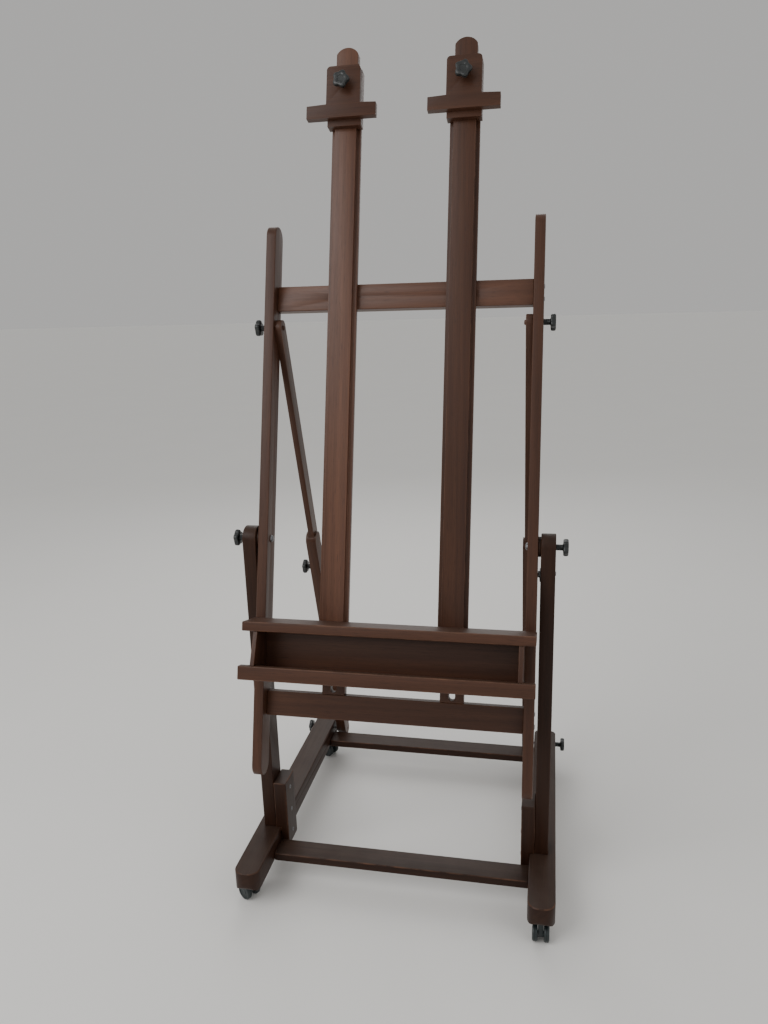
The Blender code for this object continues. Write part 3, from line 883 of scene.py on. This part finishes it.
class EASEL_OT_casters(bpy.types.Operator):
    """Swivel casters: rounded forks and grooved wheels with their hubs"""
    bl_idname = "easel.casters"
    bl_label = "Casters"

    def execute(self, context):
        groove = context.scene.easel_casters.groove * 1000.0
        for place in CORNERS:
            fork = wooden("caster_fork_" + place, "caster_fork_" + place, caster_plastic(), 1.4)
            fork.name = "caster_fork_" + place + "_moulded"
            spin = JOINTS["caster_" + place + "_spin"]
            centre = Vector(spin["pos_m"])
            axle = Vector(spin["axis"]).normalized()
            half = [(3.0, 16.9), (5.6, 17.1), (6.3, 16.2), (13.4, 16.0), (14.2, 17.4), (15.8, 17.9),
                    (17.6, 17.3), (18.7, 15.9), (19.0, 14.4), (19.0, 12.6), (19.0 - groove, 12.3),
                    (19.0 - groove, 11.9), (19.0, 11.6), (19.0, 9.4), (18.6, 8.0), (17.4, 6.9),
                    (16.4, 6.5), (3.0, 6.5)]
            profile = half + [(radius, -along) for radius, along in reversed(half)]
            wheel = lathe(profile, 72)
            stand(wheel, centre, axle)
            bmesh.ops.recalc_face_normals(wheel, faces=wheel.faces)
            wheel = to_object("caster_wheel_" + place + "_turned", wheel)
            smooth(wheel, 40)
            wheel.data.materials.append(caster_plastic())
            attach(wheel, "caster_wheel_" + place, "black_plastic", "caster_wheel_" + place)
        return {"FINISHED"}


class EASEL_OT_stage(bpy.types.Operator):
    """Plain floor, soft studio light and the camera"""
    bl_idname = "easel.stage"
    bl_label = "Stage"

    def execute(self, context):
        look = context.scene.easel_stage
        mesh = bpy.data.meshes.new("floor")
        corners = [(-40, -40, 0), (40, -40, 0), (40, 40, 0), (-40, 40, 0)]
        mesh.from_pydata(corners, [], [(0, 1, 2, 3)])
        floor = bpy.data.objects.new("floor", mesh)
        context.scene.collection.objects.link(floor)
        made, tree, shader, place = start_material("plain_floor")
        shade = noise(tree, place, 2.0, 2.0)
        pale = tuple(look.floor)
        shader.inputs["Roughness"].default_value = 0.65
        colour = blend_colour(tree, shade, pale, tuple(value * 0.97 for value in pale))
        tree.links.new(colour, shader.inputs["Base Color"])
        mesh.materials.append(made)
        world = bpy.data.worlds.new("studio")
        context.scene.world = world
        world.use_nodes = True
        sky = world.node_tree.nodes["Background"]
        sky.inputs["Color"].default_value = (0.83, 0.83, 0.82, 1.0)
        sky.inputs["Strength"].default_value = 0.75
        seen = add(world.node_tree, "ShaderNodeBackground", "sky as the camera sees it")
        seen.inputs["Color"].default_value = (0.80, 0.79, 0.775, 1.0)
        seen.inputs["Strength"].default_value = 0.6
        choose = add(world.node_tree, "ShaderNodeMixShader")
        camera_ray = add(world.node_tree, "ShaderNodeLightPath").outputs["Is Camera Ray"]
        world.node_tree.links.new(camera_ray, choose.inputs[0])
        world.node_tree.links.new(sky.outputs[0], choose.inputs[1])
        world.node_tree.links.new(seen.outputs[0], choose.inputs[2])
        world.node_tree.links.new(choose.outputs[0],
                                  world.node_tree.nodes["World Output"].inputs["Surface"])
        self.lamp(context, "key", (-1.9, -2.3, 2.7), (0, 0, 0.9), 2.2, look.key)
        self.lamp(context, "fill", (2.6, -1.6, 2.2), (0, 0, 0.8), 2.4, look.key * 0.2)
        self.lamp(context, "back", (-0.6, 2.6, 2.6), (0, 0, 1.0), 2.0, look.key * 0.4)
        self.camera(context, look.lens)
        return {"FINISHED"}

    def lamp(self, context, name, place, target, size, power):
        """A square area light aimed at a target."""
        light = bpy.data.lights.new(name, "AREA")
        light.shape = "SQUARE"
        light.size = size
        light.energy = power
        obj = bpy.data.objects.new(name, light)
        obj.location = place
        aim = Vector(target) - Vector(place)
        obj.rotation_euler = aim.to_track_quat("-Z", "Y").to_euler()
        context.scene.collection.objects.link(obj)

    def camera(self, context, lens):
        """The camera, turned left by yaw and down by pitch, in degrees."""
        yaw, pitch, roll = (math.radians(angle) for angle in CAMERA_TURN)
        ahead = Vector((-math.sin(yaw) * math.cos(pitch), math.cos(yaw) * math.cos(pitch),
                        -math.sin(pitch)))
        level = Vector((math.cos(yaw), math.sin(yaw), 0.0))
        rise = level.cross(ahead)
        right = level * math.cos(roll) + rise * math.sin(roll)
        up = rise * math.cos(roll) - level * math.sin(roll)
        camera = bpy.data.cameras.new("camera")
        camera.lens = lens
        camera.sensor_width = 36.0
        camera.clip_start = 0.02
        obj = bpy.data.objects.new("camera", camera)
        turn = Matrix((right, up, -ahead)).transposed().to_4x4()
        obj.matrix_world = Matrix.Translation(CAMERA_PLACE) @ turn
        context.scene.collection.objects.link(obj)
        context.scene.camera = obj


OPERATORS = (EASEL_OT_base, EASEL_OT_tilting_frame, EASEL_OT_masts, EASEL_OT_tray,
             EASEL_OT_braces, EASEL_OT_knobs, EASEL_OT_pivots, EASEL_OT_casters, EASEL_OT_stage)


class EASEL_PT_panel(bpy.types.Panel):
    """Lists the easel's pieces and their settings"""
    bl_idname = "EASEL_PT_panel"
    bl_label = "Easel"
    bl_space_type = "VIEW_3D"
    bl_region_type = "UI"
    bl_category = "Easel"

    def draw(self, context):
        for name in ("easel_wood", "easel_knobs", "easel_casters", "easel_stage"):
            group = getattr(context.scene, name)
            box = self.layout.box()
            for key in group.__annotations__:
                box.prop(group, key)
        for operator in OPERATORS:
            self.layout.operator(operator.bl_idname)


GROUPS = (("easel_wood", EASEL_PG_wood), ("easel_knobs", EASEL_PG_knobs),
          ("easel_casters", EASEL_PG_casters), ("easel_stage", EASEL_PG_stage))


def register():
    """Add the settings, the operators and the panel."""
    for name, group in GROUPS:
        bpy.utils.register_class(group)
        setattr(bpy.types.Scene, name, bpy.props.PointerProperty(type=group))
    for item in OPERATORS + (EASEL_PT_panel,):
        bpy.utils.register_class(item)


def unregister():
    """Take away what register added."""
    for item in reversed(OPERATORS + (EASEL_PT_panel,)):
        bpy.utils.unregister_class(item)
    for name, group in reversed(GROUPS):
        delattr(bpy.types.Scene, name)
        bpy.utils.unregister_class(group)


def main():
    register()
    for operator in OPERATORS:
        family, name = operator.bl_idname.split(".")
        getattr(getattr(bpy.ops, family), name)()


if __name__ == "__main__":
    main()
